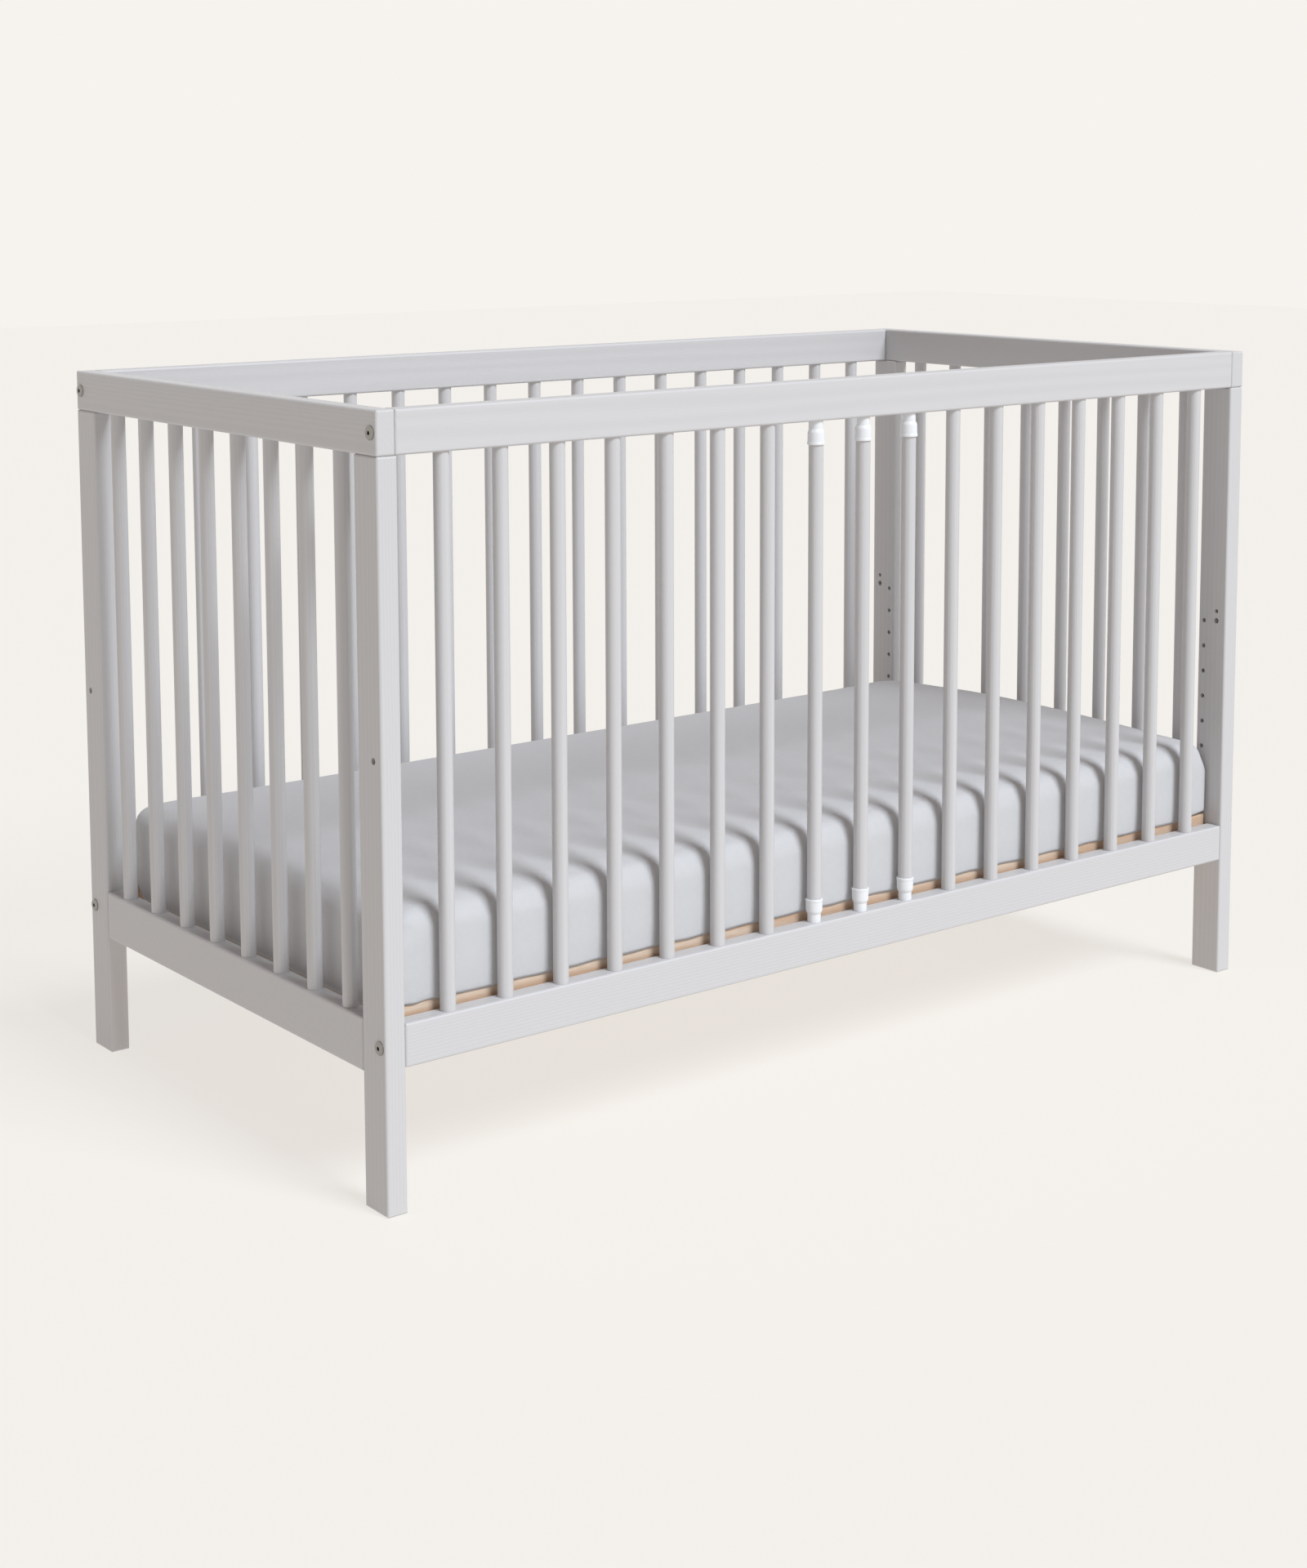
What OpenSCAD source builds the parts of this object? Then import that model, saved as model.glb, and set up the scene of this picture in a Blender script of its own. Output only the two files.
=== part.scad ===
// Baby crib with slatted base, mattress, fitted sheet and three removable bars.
// Millimetres. X runs along the length, -Y is the front, +Z is up.
// The origin is on the floor, under the middle of the crib.

/* [Overall size] */
// Length over the outer faces of the two end frames
crib_length = 1250; // [1200:5:1400]
// Width over the outer faces of the two long sides
crib_width = 640; // [620:5:700]
// Height from the floor to the top of the rails
crib_height = 785; // [740:5:860]

/* [Timber sections] */
// Leg thickness, along X
leg_thick = 23; // [22:0.5:30]
// Leg depth, along Y
leg_deep = 42; // [40:1:55]
// Height of the top rails, and of the long lower rails
rail_high = 44; // [40:1:60]
// Thickness of every rail
rail_thick = 21; // [20:0.5:26]
// Height of the two lower rails in the end frames
end_lower_rail_high = 54; // [44:1:70]
// Height of the top edge of all lower rails above the floor
lower_rail_top = 190; // [170:1:240]
// Radius that rounds every timber edge
timber_round = 2.5; // [1.5:0.5:4]

/* [Bars] */
// Diameter of the round bars
bar_d = 16; // [14:0.5:18]
// Spacing of the bars from centre to centre
bar_pitch = 68.3; // [60:0.1:70]
// Number of bars in each long side, an odd number
side_bars = 17; // [15:2:17]
// Number of bars in each end frame
end_bars = 8; // [6:2:8]
// Length of bar held inside a rail, at each end
bar_tenon = 12; // [8:1:16]

/* [Removable bars] */
// Outer diameter of the plastic end caps
cap_d = 19.5; // [18:0.5:24]
// Diameter of the cap's neck, which runs in the rail
neck_d = 14.8; // [12:0.1:15]
// Length of the wide part of a cap
cap_body_high = 17; // [14:1:24]
// Length of neck that shows between the cap and the rail
neck_shown = 9; // [8:0.5:12]
// Length of the lower neck held inside the lower rail
lower_neck_in = 7; // [5:0.5:8]
// Length of the upper neck held inside the top rail
upper_neck_in = 12; // [8:1:16]
// Depth of the upper neck's blind hole
upper_hole_deep = 32; // [28:1:34]

/* [Base and mattress] */
// Height of the centre of the base pins above the floor, in the lowest row of holes
pin_height = 191; // [188:1:196]
// Spacing of the rows of holes
hole_pitch = 32; // [25:1:40]
// Number of hole rows in the two front legs
front_rows = 9; // [4:1:9]
// Number of hole rows in the two rear legs
rear_rows = 8; // [4:1:8]
// Height of the base frame's rails
base_rail_high = 38; // [36:1:45]
// Thickness of the base frame's rails
base_rail_thick = 18; // [16:1:22]
// Number of slats
slat_count = 12; // [10:1:12]
// Width of a slat
slat_wide = 50; // [40:1:55]
// Mattress thickness
mattress_high = 100; // [80:5:130]

/* [Hidden] */

$fn = 48;
paint = "#DAD9DA";
plastic = "#F1F4F6";
nickel = "#B9B9B6";
steel = "#9A9A98";
beech = "#D9B48C";
pine = "#E2BE94";
linen = "#D6D5DC";

// Places that the driving sizes give
half_l = crib_length / 2;
half_w = crib_width / 2;
top_rail_bottom = crib_height - rail_high;
leg_inner_x = half_l - leg_thick;
leg_inner_y = half_w - leg_deep;
rail_inner_x = half_l - rail_thick;
side_mid_y = half_w - rail_thick / 2;
end_mid_x = half_l - rail_thick / 2;
lower_rail_bottom = lower_rail_top - rail_high;
upper_bolt_z = crib_height - rail_high / 2;
lower_bolt_z = lower_rail_top - rail_high / 2;

// How far a cutter runs past the face it cuts, and the spare depth of a blind hole
past = 1;
hole_relief = 0.5;

// Glued bars
bar_hole_d = bar_d + 0.2;
bar_low = lower_rail_top - bar_tenon;
bar_high = top_rail_bottom + bar_tenon;
middle_bar = (side_bars - 1) / 2;

// Removable bars: the neck slides in its hole, the bar is glued in the cap
neck_hole_d = neck_d + 0.6;
cap_wall_d = bar_d + 0.2;
cap_seat = 2;
cap_glue_gap = 0.1;
lower_hole_spare = 2;
upper_shoulder_z = top_rail_bottom - neck_shown;
lower_shoulder_z = lower_rail_top + neck_shown;
spring_bore_d = neck_d - 3.4;
spring_bore_deep = 18;
upper_neck_top = top_rail_bottom + upper_neck_in;
spring_low = upper_neck_top - spring_bore_deep + 0.3;
spring_high = top_rail_bottom + upper_hole_deep - 0.3;
spring_wire = 1.2;
spring_coil_d = spring_bore_d - 0.8 - spring_wire;
spring_turns = 7;
spring_end_pitch = 1.35;
spring_open_pitch = (spring_high - spring_low - spring_wire - 2 * spring_end_pitch) / (spring_turns - 2);
spring_points = 12;
spring_sides = 6;

// Furniture bolts, barrel nuts and dowels
bolt_d = 6;
bolt_hole_d = 6.6;
bolt_head_d = 14;
bolt_head_high = 2;
bolt_socket_af = 4;
bolt_socket_deep = 3.2;
bolt_in_rail = 42;
nut_d = 10;
nut_high = 14;
nut_hole_d = 10.4;
nut_inset = 34;
dowel_d = 8;
dowel_hole_d = 8.2;
dowel_gap = 13;
side_dowel_in_frame = 12;
side_dowel_in_rail = 26;
frame_dowel_half = 20;
top_dowel_up = 22;
top_dowel_down = 26;
end_dowel_x = half_l - 11;
top_dowel_y = [half_w - 34, half_w - 21];
lower_dowel_z = [lower_rail_top - 13, lower_rail_top - 41];

// Holes in the legs' inner faces
pin_d = 5;
pin_hole_d = 5.6;
pin_hole_deep = 15;
pin_y = half_w - 33.5;
guard_hole_y = half_w - 14;
guard_bolt_hole_d = 7;
guard_pin_hole_d = 5;
guard_pin_rise = 12;
guard_pin_deep = 12;
front_guard_z = 449;
rear_guard_z = 420;

// Slatted base
base_x = leg_inner_x - 2;
base_y = half_w - 24.5;
base_end_inset = 14;
end_rail_x = base_x - base_end_inset;
base_top = pin_height + 10;
base_bottom = base_top - base_rail_high;
base_round = 2;
slat_high = 10;
slat_half = base_y - 7;
slat_pitch = 95;
slat_gap = 0.2;
slat_screw_y = slat_half - 6;
slat_screw_d = 3.5;
slat_screw_head_d = 7;
slat_screw_long = 25;
screw_clear = 0.15;
corner_screw_z = [base_top - 32, base_top - 20];
corner_screw_d = 4;
corner_screw_head_d = 8;
corner_screw_head_high = 2.5;
corner_screw_long = 45;
corner_screw_sunk = 0.5;
corner_screw_seat = base_y - corner_screw_sunk - corner_screw_head_high;
pin_out = 14.5;
pin_in = 25;

// Mattress and sheet
mattress_x = leg_inner_x - 3.5;
mattress_y = half_w - rail_thick - 0.8;
mattress_round = 26;
sheet_thick = 1;
mattress_low = base_top + 0.3;
mattress_top = mattress_low + mattress_high;
sheet_hem_z = base_top + 8;
fold_half = 245;
fold_low = base_top - 15;
fold_high = mattress_low + 2 * mattress_round;

// A rectangle with round corners
module round_rect(sx, sy, r) {
    square([sx - 2 * r, sy], center = true);
    square([sx, sy - 2 * r], center = true);
    for (u = [-1, 1], v = [-1, 1])
        translate([u * (sx / 2 - r), v * (sy / 2 - r)])
            circle(r);
}

// A centred block whose twelve edges are all rounded
module soft_block(size, r) {
    intersection() {
        linear_extrude(size[2] + 1, center = true)
            round_rect(size[0], size[1], r);
        rotate([90, 0, 0])
            linear_extrude(size[1] + 1, center = true)
                round_rect(size[0], size[2], r);
        rotate([90, 0, 90])
            linear_extrude(size[0] + 1, center = true)
                round_rect(size[1], size[2], r);
    }
}

// A rounded block between two corners
module timber(low, high, r = timber_round) {
    translate((low + high) / 2)
        soft_block(high - low, r);
}

// A cylinder along X from one X position to another
module x_rod(x0, x1, y, z, d) {
    translate([min(x0, x1), y, z])
        rotate([0, 90, 0])
            cylinder(h = abs(x1 - x0), d = d);
}

// A cylinder along Y from one Y position to another
module y_rod(y0, y1, x, z, d) {
    translate([x, max(y0, y1), z])
        rotate([90, 0, 0])
            cylinder(h = abs(y1 - y0), d = d);
}

// A cylinder along Z from one height to another
module z_rod(z0, z1, x, y, d) {
    translate([x, y, z0])
        cylinder(h = z1 - z0, d = d);
}

function side_bar_x(k) = (k - middle_bar) * bar_pitch;
function end_bar_y(k) = (k - (end_bars - 1) / 2) * bar_pitch;
function is_removable(k) = abs(k - middle_bar) <= 1;

// ---------- holes for the bolts and dowels that join a long rail to an end frame ----------

module joint_holes(sx, sy, z) {
    y = sy * side_mid_y;
    x_rod(sx * (rail_inner_x - bolt_in_rail - hole_relief), sx * (half_l + past), y, z, bolt_hole_d);
    for (dz = [-dowel_gap, dowel_gap])
        x_rod(sx * (leg_inner_x - side_dowel_in_rail - hole_relief),
            sx * (leg_inner_x + side_dowel_in_frame + hole_relief), y, z + dz, dowel_hole_d);
}

module frame_dowel_holes(sx, sy) {
    for (y = top_dowel_y)
        z_rod(top_rail_bottom - top_dowel_down - hole_relief, top_rail_bottom + top_dowel_up + hole_relief,
            sx * end_dowel_x, sy * y, dowel_hole_d);
    for (z = lower_dowel_z)
        y_rod(sy * (leg_inner_y - frame_dowel_half - hole_relief),
            sy * (leg_inner_y + frame_dowel_half + hole_relief), sx * end_dowel_x, z, dowel_hole_d);
}

// ---------- end frames ----------

module leg(sx, sy, rows, guard_z) {
    color(paint)
        difference() {
            timber([min(sx * leg_inner_x, sx * half_l), min(sy * leg_inner_y, sy * half_w), 0],
                [max(sx * leg_inner_x, sx * half_l), max(sy * leg_inner_y, sy * half_w), top_rail_bottom]);
            joint_holes(sx, sy, lower_bolt_z);
            frame_dowel_holes(sx, sy);
            for (k = [0 : rows - 1])
                x_rod(sx * (leg_inner_x - past), sx * (leg_inner_x + pin_hole_deep),
                    sy * pin_y, pin_height + k * hole_pitch, pin_hole_d);
            x_rod(sx * (leg_inner_x - past), sx * (half_l + past),
                sy * guard_hole_y, guard_z, guard_bolt_hole_d);
            x_rod(sx * (leg_inner_x - past), sx * (leg_inner_x + guard_pin_deep),
                sy * guard_hole_y, guard_z + guard_pin_rise, guard_pin_hole_d);
        }
}

module end_top_rail(sx) {
    color(paint)
        difference() {
            timber([min(sx * rail_inner_x, sx * half_l), -half_w, top_rail_bottom],
                [max(sx * rail_inner_x, sx * half_l), half_w, crib_height]);
            for (sy = [-1, 1]) {
                top_joint_holes(sx, sy);
                frame_dowel_holes(sx, sy);
            }
            for (k = [0 : end_bars - 1])
                z_rod(top_rail_bottom - past, bar_high + hole_relief,
                    sx * end_mid_x, end_bar_y(k), bar_hole_d);
        }
}

// The upper joint's holes: the rails here butt on the end rail's inner face
module top_joint_holes(sx, sy) {
    y = sy * side_mid_y;
    x_rod(sx * (rail_inner_x - bolt_in_rail - hole_relief), sx * (half_l + past),
        y, upper_bolt_z, bolt_hole_d);
    for (dz = [-dowel_gap, dowel_gap])
        x_rod(sx * (rail_inner_x - side_dowel_in_rail - hole_relief),
            sx * (rail_inner_x + side_dowel_in_frame + hole_relief), y, upper_bolt_z + dz, dowel_hole_d);
}

module end_lower_rail(sx) {
    color(paint)
        difference() {
            timber([min(sx * rail_inner_x, sx * half_l), -leg_inner_y, lower_rail_top - end_lower_rail_high],
                [max(sx * rail_inner_x, sx * half_l), leg_inner_y, lower_rail_top]);
            for (sy = [-1, 1])
                frame_dowel_holes(sx, sy);
            for (k = [0 : end_bars - 1])
                z_rod(bar_low - hole_relief, lower_rail_top + past, sx * end_mid_x, end_bar_y(k), bar_hole_d);
        }
}

module end_bar_set(sx) {
    color(paint)
        for (k = [0 : end_bars - 1])
            z_rod(bar_low, bar_high, sx * end_mid_x, end_bar_y(k), bar_d);
}

module leg_front_left() { leg(-1, -1, front_rows, front_guard_z); }
module leg_front_right() { leg(1, -1, front_rows, front_guard_z); }
module leg_rear_left() { leg(-1, 1, rear_rows, rear_guard_z); }
module leg_rear_right() { leg(1, 1, rear_rows, rear_guard_z); }
module end_top_rail_left() { end_top_rail(-1); }
module end_top_rail_right() { end_top_rail(1); }
module end_lower_rail_left() { end_lower_rail(-1); }
module end_lower_rail_right() { end_lower_rail(1); }
module end_bars_left() { end_bar_set(-1); }
module end_bars_right() { end_bar_set(1); }

// ---------- long sides ----------

module nut_hole(sx, sy, x, z) {
    z_rod(z - rail_high, z + nut_high / 2 + hole_relief, sx * x, sy * side_mid_y, nut_hole_d);
}

module top_rail(sy) {
    color(paint)
        difference() {
            timber([-rail_inner_x, min(sy * (half_w - rail_thick), sy * half_w), top_rail_bottom],
                [rail_inner_x, max(sy * (half_w - rail_thick), sy * half_w), crib_height]);
            for (sx = [-1, 1]) {
                top_joint_holes(sx, sy);
                nut_hole(sx, sy, rail_inner_x - nut_inset, upper_bolt_z);
            }
            for (k = [0 : side_bars - 1])
                if (sy < 0 && is_removable(k))
                    z_rod(top_rail_bottom - past, top_rail_bottom + upper_hole_deep,
                        side_bar_x(k), sy * side_mid_y, neck_hole_d);
                else
                    z_rod(top_rail_bottom - past, bar_high + hole_relief,
                        side_bar_x(k), sy * side_mid_y, bar_hole_d);
        }
}

module lower_rail(sy) {
    color(paint)
        difference() {
            timber([-leg_inner_x, min(sy * (half_w - rail_thick), sy * half_w), lower_rail_bottom],
                [leg_inner_x, max(sy * (half_w - rail_thick), sy * half_w), lower_rail_top]);
            for (sx = [-1, 1]) {
                joint_holes(sx, sy, lower_bolt_z);
                nut_hole(sx, sy, leg_inner_x - nut_inset, lower_bolt_z);
            }
            for (k = [0 : side_bars - 1])
                if (sy < 0 && is_removable(k))
                    z_rod(lower_rail_top - lower_neck_in - lower_hole_spare, lower_rail_top + past,
                        side_bar_x(k), sy * side_mid_y, neck_hole_d);
                else
                    z_rod(bar_low - hole_relief, lower_rail_top + past,
                        side_bar_x(k), sy * side_mid_y, bar_hole_d);
        }
}

module front_top_rail() { top_rail(-1); }
module rear_top_rail() { top_rail(1); }
module front_lower_rail() { lower_rail(-1); }
module rear_lower_rail() { lower_rail(1); }

module front_fixed_bars() {
    color(paint)
        for (k = [0 : side_bars - 1])
            if (!is_removable(k))
                z_rod(bar_low, bar_high, side_bar_x(k), -side_mid_y, bar_d);
}

module rear_bars() {
    color(paint)
        for (k = [0 : side_bars - 1])
            z_rod(bar_low, bar_high, side_bar_x(k), side_mid_y, bar_d);
}

// ---------- removable bars, with their caps and springs ----------

module removable_bar(n) {
    color(paint)
        z_rod(lower_shoulder_z + cap_seat, upper_shoulder_z - cap_seat,
            side_bar_x(middle_bar - 2 + n), -side_mid_y, bar_d);
}

// Half section of a cap's outside, from its rim (height 0) up to its shoulder and neck
function cap_outline(neck_high) = [
    [0, 0],
    [cap_d / 2 - 0.4, 0],
    [cap_d / 2, 0.5],
    [cap_d / 2, 2.4],
    [cap_d / 2 - 0.35, 3],
    [cap_d / 2 - 0.6, cap_body_high - 4],
    [cap_d / 2 - 1.0, cap_body_high - 2.4],
    [neck_d / 2, cap_body_high],
    [neck_d / 2, cap_body_high + neck_high - 0.8],
    [neck_d / 2 - 0.8, cap_body_high + neck_high],
    [0, cap_body_high + neck_high]
];

module cap(neck_high, bore_deep) {
    color(plastic)
        difference() {
            rotate_extrude()
                polygon(cap_outline(neck_high));
            translate([0, 0, -past])
                cylinder(h = past + cap_body_high - cap_seat + cap_glue_gap, d = cap_wall_d);
            if (bore_deep > 0)
                translate([0, 0, cap_body_high + neck_high - bore_deep])
                    cylinder(h = bore_deep + past, d = spring_bore_d);
        }
}

module top_cap(n) {
    translate([side_bar_x(middle_bar - 2 + n), -side_mid_y, upper_shoulder_z - cap_body_high])
        cap(neck_shown + upper_neck_in, spring_bore_deep);
}

module bottom_cap(n) {
    translate([side_bar_x(middle_bar - 2 + n), -side_mid_y, lower_shoulder_z + cap_body_high])
        mirror([0, 0, 1])
            cap(neck_shown + lower_neck_in, 0);
}

// Height of the wire's centre, t turns up: one close turn at each end, open turns between
function coil_rise(t) = spring_low + spring_wire / 2
    + spring_end_pitch * (min(t, 1) + max(0, t - spring_turns + 1))
    + spring_open_pitch * max(0, min(t - 1, spring_turns - 2));

// One ring of points round the wire, t turns along it
function coil_ring(t) = [
    for (s = [0 : spring_sides - 1])
        let (
            a = 360 * s / spring_sides,
            r = spring_coil_d / 2 + spring_wire / 2 * cos(a),
            c = 360 * t
        )
        [r * cos(c), r * sin(c), coil_rise(t) + spring_wire / 2 * sin(a)]
];

module cap_spring(n) {
    rings = [for (i = [0 : spring_turns * spring_points]) coil_ring(i / spring_points)];
    points = [for (ring = rings) for (p = ring) p];
    last = (len(rings) - 1) * spring_sides;
    walls = [
        for (i = [0 : len(rings) - 2], s = [0 : spring_sides - 1])
            let (a = i * spring_sides + s, b = i * spring_sides + (s + 1) % spring_sides)
            [a, a + spring_sides, b + spring_sides, b]
    ];
    first_end = [for (s = [0 : spring_sides - 1]) s];
    last_end = [for (s = [spring_sides - 1 : -1 : 0]) last + s];
    color(steel)
        translate([side_bar_x(middle_bar - 2 + n), -side_mid_y, 0])
            polyhedron(points, concat(walls, [first_end, last_end]));
}

module removable_bar_1() { removable_bar(1); }
module removable_bar_2() { removable_bar(2); }
module removable_bar_3() { removable_bar(3); }
module top_cap_1() { top_cap(1); }
module top_cap_2() { top_cap(2); }
module top_cap_3() { top_cap(3); }
module bottom_cap_1() { bottom_cap(1); }
module bottom_cap_2() { bottom_cap(2); }
module bottom_cap_3() { bottom_cap(3); }
module cap_spring_1() { cap_spring(1); }
module cap_spring_2() { cap_spring(2); }
module cap_spring_3() { cap_spring(3); }

// ---------- fasteners of the frame ----------

// A low round-headed furniture bolt with a hexagon socket, pointing along -X from its head
module joint_bolt(reach) {
    color(nickel)
        difference() {
            union() {
                rotate([0, 90, 0])
                    rotate_extrude()
                        polygon([
                            [0, 0],
                            [bolt_head_d / 2, 0],
                            [bolt_head_d / 2, bolt_head_high * 0.4],
                            [bolt_head_d / 2 - 1, bolt_head_high],
                            [0, bolt_head_high]
                        ]);
                x_rod(-reach, 0.1, 0, 0, bolt_d);
            }
            translate([bolt_head_high - bolt_socket_deep, 0, 0])
                rotate([0, 90, 0])
                    cylinder(h = bolt_socket_deep + past, d = bolt_socket_af / cos(30), $fn = 6);
        }
}

module bolt_set(z, reach) {
    for (sx = [-1, 1], sy = [-1, 1])
        translate([sx * half_l, sy * side_mid_y, z])
            rotate([0, 0, sx > 0 ? 0 : 180])
                joint_bolt(reach);
}

module upper_joint_bolts() { bolt_set(upper_bolt_z, rail_thick + bolt_in_rail); }
module lower_joint_bolts() { bolt_set(lower_bolt_z, leg_thick + bolt_in_rail - 2); }

// A barrel nut stands upright in its rail, cross-drilled for the bolt
module barrel_nut(x, y, z) {
    color(steel)
        difference() {
            z_rod(z - nut_high / 2, z + nut_high / 2, x, y, nut_d);
            x_rod(x - nut_d, x + nut_d, y, z, bolt_d + 0.1);
        }
}

module barrel_nuts() {
    for (sx = [-1, 1], sy = [-1, 1]) {
        barrel_nut(sx * (rail_inner_x - nut_inset), sy * side_mid_y, upper_bolt_z);
        barrel_nut(sx * (leg_inner_x - nut_inset), sy * side_mid_y, lower_bolt_z);
    }
}

// Loose beech dowels that keep each long side level on the end frames
module locating_dowels() {
    color(beech)
        for (sx = [-1, 1], sy = [-1, 1], dz = [-dowel_gap, dowel_gap]) {
            x_rod(sx * (rail_inner_x - side_dowel_in_rail), sx * (rail_inner_x + side_dowel_in_frame),
                sy * side_mid_y, upper_bolt_z + dz, dowel_d);
            x_rod(sx * (leg_inner_x - side_dowel_in_rail), sx * (leg_inner_x + side_dowel_in_frame),
                sy * side_mid_y, lower_bolt_z + dz, dowel_d);
        }
}

// Glued beech dowels inside each end frame
module frame_dowels() {
    color(beech)
        for (sx = [-1, 1], sy = [-1, 1]) {
            for (y = top_dowel_y)
                z_rod(top_rail_bottom - top_dowel_down, top_rail_bottom + top_dowel_up,
                    sx * end_dowel_x, sy * y, dowel_d);
            for (z = lower_dowel_z)
                y_rod(sy * (leg_inner_y - frame_dowel_half), sy * (leg_inner_y + frame_dowel_half),
                    sx * end_dowel_x, z, dowel_d);
        }
}

// ---------- slatted base ----------

function slat_x(k) = (k - (slat_count + 1) / 2) * slat_pitch;

// A screw through a side rail's end into the end rail; extra lengthens it at both ends
module corner_screw(sx, sy, z, d, extra) {
    x = sx * (end_rail_x - base_rail_thick / 2);
    y_rod(sy * (base_y + extra), sy * (base_y - corner_screw_long - extra), x, z, d);
}

// A countersunk wood screw pointing down; grow widens it into its own hole
module slat_screw(grow) {
    rotate_extrude()
        polygon([
            [0, 0],
            [slat_screw_head_d / 2 + grow, 0],
            [slat_screw_d / 2 + grow, -slat_screw_head_d / 2 + slat_screw_d / 2],
            [slat_screw_d / 2 + grow, -slat_screw_long + slat_screw_d],
            [grow, -slat_screw_long - grow],
            [0, -slat_screw_long - grow]
        ]);
}

module slat_screw_pair(k, grow) {
    for (sy = [-1, 1])
        translate([slat_x(k), sy * slat_screw_y, base_top])
            slat_screw(grow);
}

// The notch in a side rail that a slat's end lies in, open at the top and towards the middle
module slat_housing(k, sy) {
    low = slat_half - 2 * base_rail_thick;
    high = slat_half + slat_gap;
    wide = slat_wide + 2 * slat_gap;
    translate([slat_x(k) - wide / 2, min(sy * low, sy * high), base_top - slat_high - slat_gap])
        cube([wide, high - low, slat_high + slat_gap + past]);
}

module base_side_rail(sy) {
    color(pine)
        difference() {
            timber([-base_x, min(sy * (base_y - base_rail_thick), sy * base_y), base_bottom],
                [base_x, max(sy * (base_y - base_rail_thick), sy * base_y), base_top], base_round);
            for (k = [1 : slat_count]) {
                slat_housing(k, sy);
                slat_screw_pair(k, screw_clear);
            }
            for (sx = [-1, 1]) {
                x_rod(sx * (base_x - pin_in - hole_relief), sx * (base_x + past),
                    sy * pin_y, pin_height, pin_d + 0.2);
                for (z = corner_screw_z) {
                    corner_screw(sx, sy, z, corner_screw_d + 2 * screw_clear, past);
                    y_rod(sy * (base_y + past), sy * (corner_screw_seat - screw_clear),
                        sx * (end_rail_x - base_rail_thick / 2), z, corner_screw_head_d + 2 * screw_clear);
                }
            }
        }
}

// Set in from the side rails' ends, which reach the legs
module base_end_rail(sx) {
    inner_x = end_rail_x - base_rail_thick;
    inner_y = base_y - base_rail_thick;
    color(pine)
        difference() {
            timber([min(sx * inner_x, sx * end_rail_x), -inner_y, base_bottom],
                [max(sx * inner_x, sx * end_rail_x), inner_y, base_top], base_round);
            for (sy = [-1, 1], z = corner_screw_z)
                corner_screw(sx, sy, z, corner_screw_d + 2 * screw_clear, hole_relief);
        }
}

// Slat 1 is at the left end
module slat(k) {
    color(pine)
        difference() {
            timber([slat_x(k) - slat_wide / 2, -slat_half, base_top - slat_high],
                [slat_x(k) + slat_wide / 2, slat_half, base_top], base_round);
            slat_screw_pair(k, screw_clear);
        }
}

// One screw in each end of each slat
module slat_screws() {
    color(steel)
        for (k = [1 : slat_count])
            slat_screw_pair(k, 0);
}

module base_corner_screws() {
    color(steel)
        for (sx = [-1, 1], sy = [-1, 1], z = corner_screw_z) {
            corner_screw(sx, sy, z, corner_screw_d, -corner_screw_sunk);
            y_rod(sy * (base_y - corner_screw_sunk), sy * corner_screw_seat,
                sx * (end_rail_x - base_rail_thick / 2), z, corner_screw_head_d);
        }
}

// Steel pins in the base's corners, which plug into the rows of holes in the legs
module base_pins() {
    color(steel)
        for (sx = [-1, 1], sy = [-1, 1])
            x_rod(sx * (base_x - pin_in), sx * (leg_inner_x + pin_out - 1), sy * pin_y, pin_height, pin_d);
}

module base_side_rail_front() { base_side_rail(-1); }
module base_side_rail_rear() { base_side_rail(1); }
module base_end_rail_left() { base_end_rail(-1); }
module base_end_rail_right() { base_end_rail(1); }

// ---------- mattress and sheet ----------

module mattress() {
    color("white")
        timber([-mattress_x + sheet_thick, -mattress_y + sheet_thick, mattress_low],
            [mattress_x - sheet_thick, mattress_y - sheet_thick, mattress_top], mattress_round);
}

// The sheet covers the top and sides, and turns in under the lower edge
module sheet_shell() {
    intersection() {
        difference() {
            timber([-mattress_x, -mattress_y, mattress_low - sheet_thick],
                [mattress_x, mattress_y, mattress_top + sheet_thick], mattress_round + sheet_thick);
            timber([-mattress_x + sheet_thick, -mattress_y + sheet_thick, mattress_low],
                [mattress_x - sheet_thick, mattress_y - sheet_thick, mattress_top], mattress_round);
        }
        translate([0, 0, sheet_hem_z + mattress_high])
            cube([2 * crib_length, 2 * crib_width, 2 * mattress_high], center = true);
    }
}

// At each end a loose fold of the sheet hangs below the mattress, outside the base's end rail
module sheet_fold(sx) {
    inner = mattress_x - sheet_thick;
    translate([min(sx * inner, sx * mattress_x), -fold_half, fold_low])
        cube([sheet_thick, 2 * fold_half, fold_high - fold_low]);
}

module fitted_sheet() {
    color(linen)
        union() {
            sheet_shell();
            sheet_fold(-1);
            sheet_fold(1);
        }
}

leg_front_left();
leg_front_right();
leg_rear_left();
leg_rear_right();
end_top_rail_left();
end_top_rail_right();
end_lower_rail_left();
end_lower_rail_right();
end_bars_left();
end_bars_right();
front_top_rail();
rear_top_rail();
front_lower_rail();
rear_lower_rail();
front_fixed_bars();
rear_bars();
removable_bar_1();
removable_bar_2();
removable_bar_3();
top_cap_1();
top_cap_2();
top_cap_3();
bottom_cap_1();
bottom_cap_2();
bottom_cap_3();
cap_spring_1();
cap_spring_2();
cap_spring_3();
upper_joint_bolts();
lower_joint_bolts();
barrel_nuts();
locating_dowels();
frame_dowels();
base_side_rail_front();
base_side_rail_rear();
base_end_rail_left();
base_end_rail_right();
for (k = [1 : slat_count])
    slat(k);
slat_screws();
base_corner_screws();
base_pins();
mattress();
fitted_sheet();
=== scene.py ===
import math

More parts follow.
